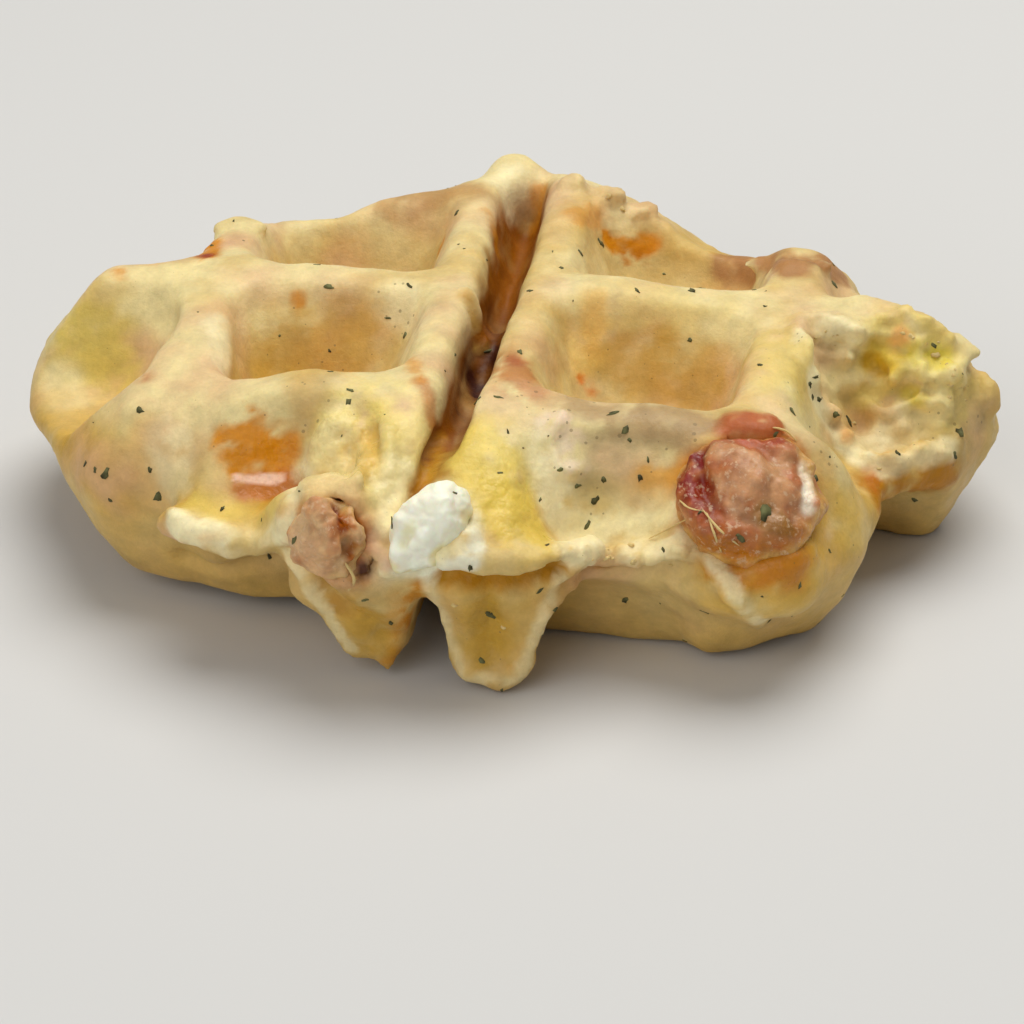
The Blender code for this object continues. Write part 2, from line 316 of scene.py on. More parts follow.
LUMPS = (
    # pixel, radii in mm, height over the dough, roughness, its wave
    (960, 352, (1.6, 1.6, 1.5), 0.2, 1.2, 1.4),
    (984, 400, (1.4, 1.6, 2.0), 0.1, 1.0, 1.5),
    (978, 380, (1.3, 1.4, 1.3), 0.1, 1.1, 1.3),
    (940, 398, (1.5, 1.4, 1.0), 0.0, 1.2, 1.3),
    (238, 224, (3.2, 2.2, 1.0), -0.1, 0.4, 2.4),
    (814, 328, (2.2, 2.0, 1.0), 0.0, 1.0, 1.5),
    (836, 322, (2.4, 2.0, 1.2), 0.1, 1.1, 1.4),
    (857, 332, (1.8, 1.8, 1.1), 0.1, 1.1, 1.4),
    (848, 356, (1.2, 1.2, 0.8), 0.1, 1.0, 1.2),
    (893, 372, (1.4, 1.2, 0.9), 0.1, 1.0, 1.2),
    (918, 398, (1.4, 1.2, 0.9), 0.1, 1.0, 1.2),
    (572, 186, (1.7, 1.8, 1.4), 0.0, 0.9, 1.7),
    (608, 196, (2.4, 1.8, 1.0), 0.1, 0.9, 1.7),
    (642, 210, (1.8, 1.8, 1.0), 0.0, 0.9, 1.7),
    (764, 264, (2.8, 1.8, 0.7), -0.4, 0.6, 1.8),
    (800, 264, (2.4, 1.8, 0.7), -0.4, 0.6, 1.8),
    (824, 262, (1.2, 1.4, 0.8), -0.2, 0.7, 1.6),
    (325, 548, (2.4, 1.6, 2.0), -0.3, 0.6, 1.6),
    (384, 560, (1.6, 1.4, 1.4), 0.1, 0.9, 1.2),
    (392, 542, (1.6, 1.4, 1.6), -0.1, 0.7, 1.4),
    (398, 560, (1.4, 1.2, 0.9), 0.2, 0.4, 1.2),
    (470, 545, (1.8, 1.4, 1.6), -0.2, 0.4, 1.4),
    (344, 428, (3.0, 3.4, 2.2), -0.7, 0.4, 2.2),
    (338, 448, (3.2, 3.4, 2.6), -0.6, 0.4, 2.2),
    (326, 470, (3.0, 3.0, 2.4), -0.6, 0.4, 2.2),
    (350, 465, (3.0, 3.0, 2.2), -0.6, 0.4, 2.2),
    (322, 487, (2.8, 2.4, 2.4), -0.7, 0.4, 2.2),
    (350, 486, (2.6, 2.4, 2.2), -0.7, 0.4, 2.2),
    (748, 424, (3.6, 2.4, 1.3), 0.0, 0.4, 2.0),
    (474, 672, (1.8, 1.2, 1.3), -0.1, 0.3, 1.3),
    (514, 672, (1.4, 1.2, 1.3), -0.2, 0.3, 1.3),
    (580, 566, (1.6, 1.4, 1.3), -0.2, 1.1, 1.3),
    (600, 568, (1.4, 1.3, 1.2), -0.2, 1.1, 1.2),
    (624, 562, (1.3, 1.2, 1.1), 0.1, 1.0, 1.1),
    (655, 558, (1.3, 1.2, 1.1), 0.1, 1.0, 1.1),
    (688, 556, (1.2, 1.1, 1.1), 0.1, 1.0, 1.1),
    (388, 664, (0.7, 0.7, 1.2), 0.2, 0.2, 1.0),
)
bm = bmesh.new()
bm.from_mesh(skin.data)
for i, (pixels, radii, out, rough, wave) in enumerate(ROLLS):
    add_tube(bm, on_dough(pixels, out), radii, rough, wave, seed=i)
for i, (u, v, radii, out, rough, wave) in enumerate(LUMPS):
    add_blob(bm, on_dough([(u, v)], out)[0], radii, rough, wave, seed=LUMP_SEED + i)
bm.to_mesh(skin.data)
bm.free()
apply_modifiers(
    skin,
    ("REMESH", {"mode": "VOXEL", "voxel_size": VOXEL}),
    ("SMOOTH", {"factor": 0.5, "iterations": 3}),
)


# Pieces baked into the dough
def make_piece(name, node_name, wrinkles, grow, strokes):
    """A node's solid grown by grow (mm) to touch the dough, wrinkled and creased.

    wrinkles: wave and height in mm, seed. strokes: pixels, radius and height in mm.
    """
    obj = copy_of_node(node_name, name, 3)
    co, normal = read(obj.data, "co"), read(obj.data, "normal")
    tree = tree_of(obj)
    move = np.full(len(co), float(grow))
    for wave, high, seed in wrinkles:
        move += high * noise_at(co, wave, seed, 2)
    for pixels, radius, high in strokes:
        move += high * near_path(co, hits(tree, pixels), radius)
    co += normal * move[:, None] * MM
    set_points(obj.data, co)
    return obj


large = make_piece(
    "tomato_large_flesh", "tomato_large", ((4.0, 0.9, 11), (1.6, 0.3, 12), (0.8, 0.1, 18)), 0.3,
    (
        (((702, 448), (698, 480), (712, 510)), 1.6, -0.9),
        (((716, 440), (760, 452), (800, 470)), 1.4, -0.35),
        (((730, 520), (770, 540)), 1.6, -0.4),
        (((690, 460), (694, 478)), 1.6, 0.5),
        (((804, 468), (808, 505)), 1.3, 0.5),
    ),
)
little = make_piece(
    "tomato_small_flesh", "tomato_small", ((2.6, 0.55, 13), (0.9, 0.2, 14)), 0.25,
    (
        (((338, 506), (344, 526), (350, 550)), 1.3, -1.3),
        (((300, 520), (296, 550), (306, 575)), 1.6, -0.35),
        (((366, 570), (360, 574)), 1.3, -1.2),
    ),
)
curd = make_piece(
    "cheese_curd", "cheese", ((2.6, 0.6, 15), (0.9, 0.14, 16)), 0.4,
    (
        (((404, 540), (412, 536)), 1.0, -0.5),
        (((440, 505), (446, 520)), 2.0, 0.4),
        (((399, 552), (396, 562)), 1.6, 0.7),
    ),
)

# Creases smoothed away where the noses meet the pockets: pixels, radius in mm
CREASES = (
    (((520, 445), (534, 495), (552, 545)), 4.5),
    (((330, 440), (318, 480)), 3.0),
    (((820, 545), (850, 520), (860, 480)), 4.0),
)
LEAST_WEIGHT = 0.01
co = read(skin.data, "co")
skin_tree = tree_of(skin)
soft = skin.vertex_groups.new(name="soft")
for pixels, radius in CREASES:
    for i, weight in enumerate(near_path(co, hits(skin_tree, pixels), radius)):
        if weight > LEAST_WEIGHT:
            soft.add([i], float(weight), "ADD")
apply_modifiers(skin, ("SMOOTH", {"factor": 0.8, "iterations": 30, "vertex_group": "soft"}))
skin.vertex_groups.clear()

# Hollows and ridges: pixels along a stroke, radius in mm, height in mm over the dough
STROKES = (
    (((446, 578), (480, 586), (520, 584), (556, 572)), 2.2, -1.9),  # under the right nose
    (((488, 606), (492, 650)), 3.4, -1.3),  # face of the right tooth
    (((325, 590), (362, 618), (385, 640)), 2.8, -1.0),  # face of the left tooth
    (((343, 436), (350, 455), (347, 474)), 1.3, -0.6),  # wrinkles of the left nose
    (((372, 432), (376, 455), (368, 488)), 1.3, -0.8),
    (((358, 425), (362, 455), (358, 480)), 1.2, 0.5),
    (((388, 430), (390, 470)), 1.2, 0.5),
    (((278, 462), (296, 426)), 3.0, -0.4),
    (((440, 436), (430, 462), (417, 495), (404, 528)), 1.5, -1.6),  # groove between the noses
    (((338, 506), (345, 526), (350, 546)), 1.5, -1.8),  # slit beside the small tomato
    (((366, 566), (362, 574)), 1.6, -2.2),
    (((170, 325), (172, 335)), 3.0, -0.6),
    (((612, 440), (650, 448)), 3.4, -0.5),
    (((600, 500), (650, 505)), 3.0, -0.4),
    (((690, 500), (700, 540)), 1.6, -0.9),
    (((560, 480), (566, 505)), 4.0, 0.9),  # soft slope from the nose into the pocket
    (((562, 418), (548, 440), (556, 468), (576, 470)), 1.3, 0.8),  # raised ring on the ridge
    (((466, 296), (474, 322), (482, 346)), 1.8, 1.0),  # dough that bridges the groove
    (((222, 300), (226, 370)), 2.6, 0.4),
    (((775, 252), (805, 252)), 4.0, -1.0),
    (((845, 285), (870, 292)), 4.0, 0.9),
    (((168, 428), (176, 480)), 3.0, 0.4),
    (((872, 362), (878, 372)), 1.7, -1.5),  # torn hollows of the right end
    (((868, 392), (885, 402)), 1.6, -1.0),
    (((880, 345), (905, 350)), 1.6, -1.0),
    (((930, 350), (935, 362)), 1.4, -0.9),
    (((905, 392), (930, 390)), 1.3, -0.8),
    (((850, 400), (862, 425)), 1.8, -1.0),
    (((590, 577), (640, 576), (690, 568)), 1.8, -1.4),  # hollow under the right lip
    (((185, 558), (230, 570), (280, 558)), 1.8, -0.9),  # hollow under the left lip
)
# Where the dough is torn, and where it is blistered: pixels, radius in mm, strength
TORN = (
    (((565, 560), (630, 560), (700, 550)), 4.0, 1.0),
    (((880, 330), (955, 380), (900, 450)), 8.0, 0.9),
    (((820, 320), (840, 420)), 5.0, 0.8),
    (((590, 200), (650, 215)), 7.0, 0.6),
    (((790, 265), (800, 266)), 6.0, 0.5),
    (((330, 540), (375, 560)), 4.0, 0.6),
    (((490, 590), (492, 650)), 4.0, 0.6),
)
BLISTERED = (
    (((335, 440), (375, 480)), 6.0, 1.0),
    (((480, 480), (520, 530)), 6.0, 0.7),
)
skin_tree = tree_of(skin)
co, normal = read(skin.data, "co"), read(skin.data, "normal")
move = np.zeros(len(co))
for pixels, radius, height in STROKES:
    move += height * near_path(co, hits(skin_tree, pixels), radius)


def zone(areas):
    found = sum(strength * near_path(co, hits(skin_tree, pixels), radius)
                for pixels, radius, strength in areas)
    return np.clip(found, 0, 1)


ragged = zone(TORN)
blistered = zone(BLISTERED)
# the rim at the back is torn too, from 72 % of the way out and fading above and below
HALF_WIDTH, HALF_DEPTH = 0.052, 0.043
out = np.hypot((co[:, 0] - MIDDLE.x) / HALF_WIDTH, (co[:, 1] - MIDDLE.y) / HALF_DEPTH)
rim = ease((out - 0.72) / 0.2) * ease(1.3 - abs(co[:, 2] - MIDDLE.z) / (7 * MM))
ragged = np.clip(ragged + 0.6 * rim * ease(co[:, 1] / (12 * MM) + 0.2), 0, 1)
seats = sum(closeness(co, tree_of(piece), 2.0) for piece in (large, little, curd))
broad = noise_at(co, 6.0, 1, 2)
small = noise_at(co, 1.9, 2, 2)
tiny = noise_at(co, 0.9, 5)
# relief in mm: a little everywhere, more where torn or blistered
move += 0.22 * broad + 0.07 * small + 0.03 * tiny
move += ragged * (0.55 * small + 0.25 * tiny)
move += blistered * (0.25 * small + 0.28 * tiny)
move += 0.55 * seats  # low collars of dough round the baked-in pieces
co += normal * move[:, None] * MM
co[:, 2] = np.maximum(co[:, 2], 0)
set_points(skin.data, co)


# Colours, as they look on screen in full light
def linear(*rgb):
    return np.array([(c / 255) ** 2.2 for c in rgb])


CREAM = linear(226, 206, 146)
TAN = linear(206, 172, 104)
GOLD = linear(196, 152, 56)
BUTTER = linear(226, 199, 96)
OLIVE = linear(206, 180, 82)
# DEEP and DARK also paint the shade in the groove
DEEP = linear(142, 82, 0)
DARK = linear(62, 24, 0)
ORANGE = linear(206, 130, 0)
RUST = linear(176, 88, 20)
RED = linear(146, 44, 14)
ROSE = linear(212, 166, 124)
BEIGE = linear(188, 158, 104)
GREY = linear(164, 144, 100)
PALE = linear(240, 226, 176)
WHITE = linear(246, 246, 222)
UMBER = linear(180, 134, 82)


def mix(base, tint, share):
    """base with tint over it, share from 0 to 1 at every point."""
    share = np.clip(share, 0, 1)[:, None]
    return base * (1 - share) + tint * share


class Paint:
    """Colours of a mesh's points, built up from stains, painted shade and painted highlights."""

    def __init__(self, obj, base):
        self.mesh = obj.data
        self.tree = tree_of(obj)
        self.co = read(self.mesh, "co")
        self.patch = noise_at(self.co, 9.0, 3, 3)
        self.fine = noise_at(self.co, 2.2, 4, 3)
        self.colour = np.tile(base, (len(self.co), 1))
        self.wet = np.zeros(len(self.co))
        self.specks = np.zeros(len(self.co))

    def daub(self, pixels, radius, tint, strength=1.0, soft=0.5, wet=0.0, specks=0.0):
        """A spot or streak where pixels show it, radius in mm."""
        self.daub_at(hits(self.tree, pixels), radius, tint, strength, soft, wet, specks)

    def daub_at(self, line, radius, tint, strength, soft, wet, specks):
        """The same along places. It fades all the way at soft 1, and has a firm edge at 0."""
        share = near_path(self.co, line, radius * (1.15 + 0.2 * soft))
        share = share * (1 + 0.9 * self.fine + 0.5 * self.patch)
        share = ease((share - 0.25 * (1 - soft)) / (0.35 + 0.65 * soft))
        self.colour = mix(self.colour, tint, strength * share)
        self.wet = np.clip(self.wet + wet * share, 0, 1)
        self.specks = np.clip(self.specks + specks * share, 0, 1)

    def daub_all(self, entries):
        for entry in entries:
            self.daub(*entry)

    def write(self):
        """Keeps the colour in Tint, and how wet and how speckled it is in Feel."""
        feel = np.stack((self.wet, self.specks, np.zeros(len(self.co))), axis=1)
        for name, values in (("Tint", np.clip(self.colour, 0, 1)), ("Feel", feel)):
            layer = self.mesh.color_attributes.new(name, "FLOAT_COLOR", "POINT")
            layer.data.foreach_set("color", np.insert(values, 3, 1.0, axis=1).ravel())


# The crust: cream on the ridges, golden in the depths, brown in the groove. The golden depths, the
# darker underside and the groove's dark bottom are partly painted shade.
# x, y and z are mm from the middle, with the bend, sag and twist of the halves taken out.
paint = Paint(skin, CREAM)
x = (paint.co[:, 0] - MIDDLE.x) / MM
y = (paint.co[:, 1] - MIDDLE.y) / MM
z = (paint.co[:, 2] - MIDDLE.z) / MM
x = x + 0.00085 * (y - 4) ** 2
z = z + 0.05 * (np.hypot(x, 9) - 9) - 0.042 * y * np.tanh(x / 8)
CREST, POCKET = 12.4, 11  # height of the ridges and depth of the pockets
UNDER = -3  # where the top groove's colours stop
depth = np.clip((CREST - z) / POCKET, 0, 1)
paint.colour = mix(paint.colour, TAN, 0.2 + 0.7 * paint.patch + 0.25 * paint.fine)
# golden deeper down: partly the crust's browning, partly painted shade in the pockets
paint.colour = mix(paint.colour, GOLD, 0.6 * ease(depth * 1.1) + 0.5 * paint.patch)
paint.colour = mix(paint.colour, ROSE, 0.1 + 0.8 * noise_at(paint.co, 7.0, 9, 2))
# tan below the middle and golden lower down, darker towards the bottom: partly painted shade under
# the lips
paint.colour = mix(paint.colour, TAN, 0.7 * ease(-z / 4))
paint.colour = mix(paint.colour, GOLD, 0.35 * ease((-z - 4) / 8))
# painted shade in the groove: deep brown over its brown crust, darker with depth and near black in
# its middle stretch
streaks = noise_at(paint.co * (1, 0.35, 1), 3.0, 17, 3)
groove = np.exp(-(((x + 1.7 + 0.7 * streaks) / (2.7 + 0.02 * (y + 40))) ** 4))
groove *= ease((33 - y) / 4) * ease((y + 36) / 4)
shade = ease((11.6 - z + 1.2 * streaks) / 2.2) * (z > UNDER)
paint.colour = mix(paint.colour, DEEP, groove * shade * (1.0 + 0.4 * streaks))
middle = np.exp(-(((y + 9) / 16) ** 4)) * (0.85 + 0.7 * paint.fine)
shade = groove * ease((10.4 - z) / 4.5) * (z > UNDER) * middle * (1.05 + 0.9 * streaks)
paint.colour = mix(paint.colour, DARK, shade)
for piece, tint in ((large, linear(186, 112, 40)), (little, RUST), (curd, PALE)):
    close = closeness(paint.co, tree_of(piece), 2.6)
    paint.colour = mix(paint.colour, tint, close * (0.75 + 0.9 * paint.fine))

# Stains of tomato, oil, browning and cheese, with painted shadow under the right nose, painted
# shade under the right lip and a painted highlight on wet tomato skin
STAINS_AND_PAINTED_LIGHT = (
    # pixels, radius in mm, colour, strength, softness, wetness, specks
    (((90, 350),), 7.0, OLIVE, 0.8, 1, 0.1, 0.1),
    (((70, 400), (60, 380)), 3.0, PALE, 0.5, 1),
    (((215, 310), (220, 370)), 3.2, ROSE, 0.35, 1),
    (((215, 320), (222, 365)), 2.2, PALE, 0.6, 0.8),
    (((170, 440), (175, 480)), 3.4, PALE, 0.5, 0.8),
    (((130, 390), (180, 395)), 4.0, ROSE, 0.35, 1, 0, 0.3),
    (((145, 378),), 1.8, RUST, 0.6, 0.8),
    (((300, 340), (350, 345)), 6.0, GOLD, 0.6, 1, 0, 0.5),
    (((400, 300), (412, 345)), 3.4, PALE, 0.65, 1, 0, 0.8),
    (((296, 425), (320, 398)), 4.6, BEIGE, 0.5, 1, 0, 0.6),
    (((297, 494), (307, 462), (326, 430), (346, 404)), 2.0, PALE, 0.7, 0.8, 0.2),
    (((365, 390), (395, 400), (405, 440)), 4.0, linear(232, 208, 130), 0.75, 1, 0.3),
    (((225, 445), (290, 450)), 5.0, BEIGE, 0.4, 1, 0.1, 0.4),
    (((252, 408),), 2.2, ORANGE, 1.0, 0.4, 0.4),
    (((232, 440), (275, 438)), 3.2, ORANGE, 0.95, 0.4, 0.5),
    (((240, 462), (280, 460)), 3.0, ORANGE, 0.95, 0.4, 0.7),
    (((245, 486), (290, 484)), 2.2, RUST, 0.75, 0.6, 0.7),
    # painted highlight: a pale pink glint line on wet tomato skin at the wall's base
    (((238, 478), (258, 479), (278, 478)), 0.8, linear(240, 196, 168), 1.0, 0.3, 1.0),
    (((178, 522), (230, 542), (284, 534)), 2.8, PALE, 1.0, 0.7),
    (((200, 505), (270, 508)), 2.4, BUTTER, 0.5, 0.8),
    (((205, 540), (300, 505)), 1.0, ORANGE, 0.25, 1),
    (((350, 430), (370, 470)), 5.5, BUTTER, 0.6, 1, 0.8, 0.1),
    (((345, 445), (362, 470), (372, 440)), 2.0, linear(210, 160, 60), 0.6, 0.9, 0.5),
    (((395, 560), (430, 572), (470, 560)), 1.8, WHITE, 0.75, 0.6, 0.2),
    (((462, 500), (474, 520), (472, 545)), 1.8, WHITE, 0.65, 0.8, 0.2),
    (((440, 440), (430, 466), (417, 498), (404, 532)), 1.5, linear(172, 114, 4), 1.0, 0.5, 0.2),
    (((414, 585), (408, 620), (396, 650)), 1.9, linear(190, 122, 6), 0.95, 0.7, 0.3),
    (((345, 590), (375, 625)), 3.0, linear(190, 142, 50), 0.8, 0.9, 0.3),
    (((335, 445), (330, 480)), 3.6, linear(234, 214, 150), 0.8, 0.9, 0.4),
    (((488, 600), (490, 655)), 2.0, linear(172, 130, 30), 0.7, 0.9, 0.3),
    (((695, 470), (690, 500)), 2.6, linear(206, 120, 20), 0.8, 0.8, 0.3),
    (((726, 424), (748, 420), (770, 424)), 2.2, linear(172, 92, 48), 1.0, 0.6, 0.3),
    (((822, 470), (822, 510), (810, 545)), 2.6, linear(204, 160, 84), 0.6, 0.9, 0.2),
    (((712, 566), (745, 576), (790, 572), (818, 550)), 2.6, linear(204, 150, 44), 0.75, 0.9, 0.3),
    (((745, 574), (775, 574)), 1.6, linear(170, 92, 4), 0.7, 0.9, 0.4),
    (((230, 262), (430, 262)), 3.0, TAN, 0.5, 1),
    (((60, 400), (80, 420)), 3.0, TAN, 0.5, 1),
    (((775, 310), (785, 350)), 3.6, TAN, 0.45, 1),
    (((540, 285), (530, 310)), 3.0, TAN, 0.4, 1),
    (((395, 470), (390, 500)), 3.0, PALE, 0.6, 0.8, 0.2),
    (((300, 470), (292, 520)), 1.6, PALE, 0.6, 0.8, 0.2),
    (((315, 540), (325, 560), (340, 580)), 3.4, ROSE, 0.75, 0.7, 0.4, 0.2),
    (((340, 508), (350, 545)), 1.3, RED, 0.95, 0.5, 0.5),
    (((352, 520), (354, 545)), 1.4, ORANGE, 0.8, 0.6, 0.4),
    (((318, 484), (352, 486)), 2.6, linear(224, 190, 130), 0.7, 0.9, 0.4),
    (((364, 570),), 1.6, DARK, 0.95, 0.5, 0.3),
    (((375, 545), (388, 560)), 1.8, ROSE, 0.8, 0.6, 0.2),
    (((345, 600), (375, 640)), 3.8, linear(202, 158, 66), 0.85, 0.8, 0.2),
    (((330, 585), (345, 600)), 2.6, DEEP, 0.4, 1),
    (((405, 590), (400, 630)), 2.0, ORANGE, 0.55, 0.8),
    (((288, 552), (320, 605), (350, 648)), 1.2, PALE, 0.6, 0.5),
    (((388, 664),), 1.4, ORANGE, 0.7, 0.6),
    (((468, 296), (474, 322), (480, 346)), 1.5, linear(190, 146, 70), 0.9, 0.7),
    (((488, 255), (492, 290)), 1.2, linear(150, 94, 10), 0.6, 0.9),
    (((420, 380), (432, 420)), 1.6, RUST, 0.6, 0.8, 0.3),
    (((412, 360), (418, 380)), 1.2, ORANGE, 0.6, 0.7, 0.3),
    (((441, 247),), 1.8, ORANGE, 0.85, 0.7),
    (((298, 299),), 1.3, ORANGE, 0.8, 0.8),
    (((202, 240), (206, 258)), 2.2, ORANGE, 1.0, 0.5, 0.3),
    (((205, 256),), 1.4, RED, 0.9, 0.6, 0.3),
    (((120, 272),), 1.6, ORANGE, 0.8, 0.8),
    (((140, 262), (180, 250)), 2.4, RUST, 0.35, 1),
    (((390, 205), (440, 192), (475, 190)), 3.0, UMBER, 0.7, 0.9),
    (((490, 215), (497, 250)), 1.6, ORANGE, 0.5, 0.9),
    (((505, 180), (512, 200)), 3.4, PALE, 0.75, 0.9),
    (((540, 190), (536, 225)), 1.6, ORANGE, 0.75, 0.8),
    (((575, 215), (595, 215)), 2.0, ORANGE, 0.5, 0.8),
    (((608, 242), (650, 246)), 2.0, ORANGE, 1.0, 0.3, 0.3),
    (((625, 256), (648, 258)), 1.5, linear(196, 120, 0), 1.0, 0.3, 0.3),
    (((735, 262), (790, 264), (835, 270)), 3.4, linear(166, 116, 68), 0.95, 0.8),
    (((600, 300), (560, 290)), 3.0, PALE, 0.35, 1),
    (((596, 328), (580, 365)), 2.8, linear(244, 210, 130), 0.9, 0.8),
    (((582, 382), (592, 388)), 1.3, linear(220, 110, 30), 0.9, 0.5, 0.3),
    (((620, 370), (690, 378)), 6.0, GOLD, 0.6, 1, 0, 0.3),
    (((600, 305), (660, 306), (715, 312)), 3.4, linear(226, 202, 130), 0.7, 1),
    (((663, 334),), 2.2, linear(198, 150, 50), 0.6, 0.9),
    (((596, 300), (590, 345)), 1.8, linear(226, 170, 80), 0.5, 1),
    (((505, 360), (520, 385)), 3.6, linear(178, 110, 52), 0.85, 0.9, 0.2, 0.5),
    (((515, 360),), 1.6, RED, 0.5, 0.9),
    (((530, 395), (600, 405), (680, 420)), 3.6, ROSE, 0.45, 0.9, 0.1, 0.9),
    (((590, 430), (660, 425)), 6.0, GREY, 0.6, 1, 0.1, 1.0),
    (((585, 408), (620, 416), (690, 420)), 3.6, linear(170, 138, 92), 0.75, 0.9, 0.1, 1.0),
    (((558, 425), (565, 460)), 3.4, linear(232, 204, 172), 0.95, 0.5, 0.3, 0.4),
    (((590, 490), (600, 500)), 3.0, GREY, 0.6, 0.9, 0.1, 1.0),
    (((660, 480), (690, 490)), 3.6, linear(226, 160, 50), 0.7, 0.8, 0.2),
    (((575, 522), (640, 522), (690, 512)), 3.4, linear(242, 228, 172), 0.85, 0.9),
    (((480, 450), (510, 480)), 6.0, BUTTER, 0.8, 1, 0.5, 0.1),
    (((500, 510), (530, 530)), 5.0, linear(222, 190, 80), 0.8, 1, 0.6),
    (((545, 445), (556, 500), (582, 538)), 3.0, PALE, 0.85, 0.9, 0.2),
    (((570, 548), (640, 552), (700, 545)), 2.6, PALE, 0.8, 0.7, 0.1, 0.1),
    # painted shadow under the right nose's overhang, golden brown
    (((452, 574), (500, 578), (548, 570)), 2.3, linear(184, 128, 0), 1.0, 0.6, 0.4),
    (((485, 610), (492, 655)), 3.6, GOLD, 0.6, 0.9, 0.3, 0.4),
    (((428, 585), (445, 640), (462, 678), (520, 680), (540, 630), (560, 580)), 1.2, PALE, 0.5, 0.7),
    # painted shade on the recessed wall under the right lip
    (((600, 590), (690, 590)), 5.0, TAN, 0.5, 1),
    (((755, 590), (830, 540)), 7.0, linear(214, 170, 66), 0.6, 1, 0.2, 0.2),
    (((730, 562), (790, 566)), 4.0, linear(190, 110, 16), 0.75, 0.9, 0.3),
    (((710, 556), (740, 600), (764, 622)), 1.4, PALE, 0.7, 0.6),
    (((790, 340), (780, 380)), 5.0, BUTTER, 0.4, 1, 0.1, 0.4),
    (((836, 326), (858, 340)), 2.6, PALE, 0.8, 0.7, 0.1),
    (((802, 330), (812, 390), (840, 440), (874, 466)), 1.5, PALE, 0.75, 0.6),
    (((900, 345), (950, 390)), 6.0, BUTTER, 0.65, 1, 0.2, 0.1),
    (((880, 350), (890, 360)), 2.2, linear(206, 170, 40), 0.7, 0.8),
    (((930, 400), (900, 430)), 3.6, PALE, 0.45, 0.9, 0, 0.5),
    (((970, 410), (960, 450)), 3.6, GREY, 0.45, 1, 0, 0.8),
    (((896, 340), (902, 335)), 1.4, linear(236, 170, 100), 0.7, 0.8),
    (((847, 436),), 1.3, linear(236, 170, 90), 0.7, 0.7),
    (((880, 495), (905, 488), (940, 484)), 4.2, linear(178, 118, 0), 1.0, 0.6, 0.2),
    (((870, 470), (875, 490)), 1.3, RUST, 0.5, 0.8),
    (((872, 362), (880, 370)), 1.8, linear(196, 150, 20), 0.85, 0.7, 0.2),
    (((912, 392), (920, 398)), 1.4, linear(216, 190, 50), 0.7, 0.8, 0.2),
    (((920, 362), (950, 372)), 1.6, PALE, 0.5, 0.8),
    (((862, 395), (885, 390)), 2.0, linear(208, 180, 92), 0.7, 0.8),
    (((925, 358), (938, 362)), 2.4, linear(222, 200, 60), 0.7, 0.8, 0.2),
    (((872, 440), (862, 452)), 2.4, PALE, 0.6, 0.8),
    (((885, 468), (950, 448)), 1.8, PALE, 0.6, 0.7),
    (((850, 500), (855, 560)), 3.0, linear(214, 176, 84), 0.5, 1, 0, 0.4),
    (((830, 465), (815, 440)), 2.0, BEIGE, 0.4, 1, 0, 0.8),
)
paint.daub_all(STAINS_AND_PAINTED_LIGHT)

# The same kinds of stain on the hidden sides: colour, radius in mm, strength
HIDDEN_STAINS = (
    (ORANGE, 1.8, 0.9), (RUST, 2.2, 0.7), (RUST, 1.4, 0.9), (PALE, 4.0, 0.6), (OLIVE, 5.0, 0.6),
    (BEIGE, 5.0, 0.5), (DEEP, 3.0, 0.35), (ROSE, 3.6, 0.5), (GOLD, 6.0, 0.6),
)
HIDDEN_TRIES = 34
FAR = 0.2  # from outside the waffle, in metres
HIDDEN = 3 * MM  # a place is hidden if the camera sees one at least this far from it
draw = random.Random(21)
for _ in range(HIDDEN_TRIES):
    side = Vector((draw.gauss(0, 1), draw.gauss(0.9, 1), draw.gauss(-0.5, 0.8))).normalized()
    aim = MIDDLE + Vector((draw.uniform(-38, 38), draw.uniform(-28, 28), draw.uniform(-6, 6))) * MM
    place = paint.tree.ray_cast(aim + side * FAR, -side)[0]
    if place is None:
        continue
    seen = paint.tree.ray_cast(EYE, (place - EYE).normalized())[0]
    if seen is not None and (seen - place).length > HIDDEN:
        tint, radius, strength = draw.choice(HIDDEN_STAINS)
        tail = place + Vector((draw.uniform(-3, 3), draw.uniform(-3, 3), draw.uniform(-2, 2))) * MM
        paint.daub_at([place, tail], radius, tint, strength, 0.8, 0.1, draw.uniform(0, 0.9))
paint.write()


# Materials
def node(net, kind, **inputs):
    """A new node with its inputs' values. An underscore stands for a space."""
    found = net.nodes.new(kind)
    for name, value in inputs.items():
        found.inputs[name.replace("_", " ")].default_value = value
    return found


def link(net, source, target):
    net.links.new(source, target)


def spread(net, source, low, high, to_low, to_high):
    """Maps low..high to to_low..to_high."""
    found = node(net, "ShaderNodeMapRange",
                 From_Min=low, From_Max=high, To_Min=to_low, To_Max=to_high)
    link(net, source, found.inputs["Value"])
    return found.outputs["Result"]


def calculate(net, operation, *values):
    """A Math node on sockets and plain numbers."""
    found = node(net, "ShaderNodeMath")
    found.operation = operation
    for socket, value in zip(found.inputs, values):
        if isinstance(value, float):
            socket.default_value = value
        else:
            link(net, value, socket)
    return found.outputs[0]


def blend(net, share, below, colour):
    """A plain colour laid over another by share."""
    found = node(net, "ShaderNodeMix")
    found.data_type = "RGBA"
    link(net, share, found.inputs["Factor"])
    link(net, below, found.inputs["A"])
    found.inputs["B"].default_value = (*colour, 1)
    return found.outputs["Result"]


def attribute(net, name):
    found = node(net, "ShaderNodeAttribute")
    found.attribute_name = name
    return found.outputs["Color"]


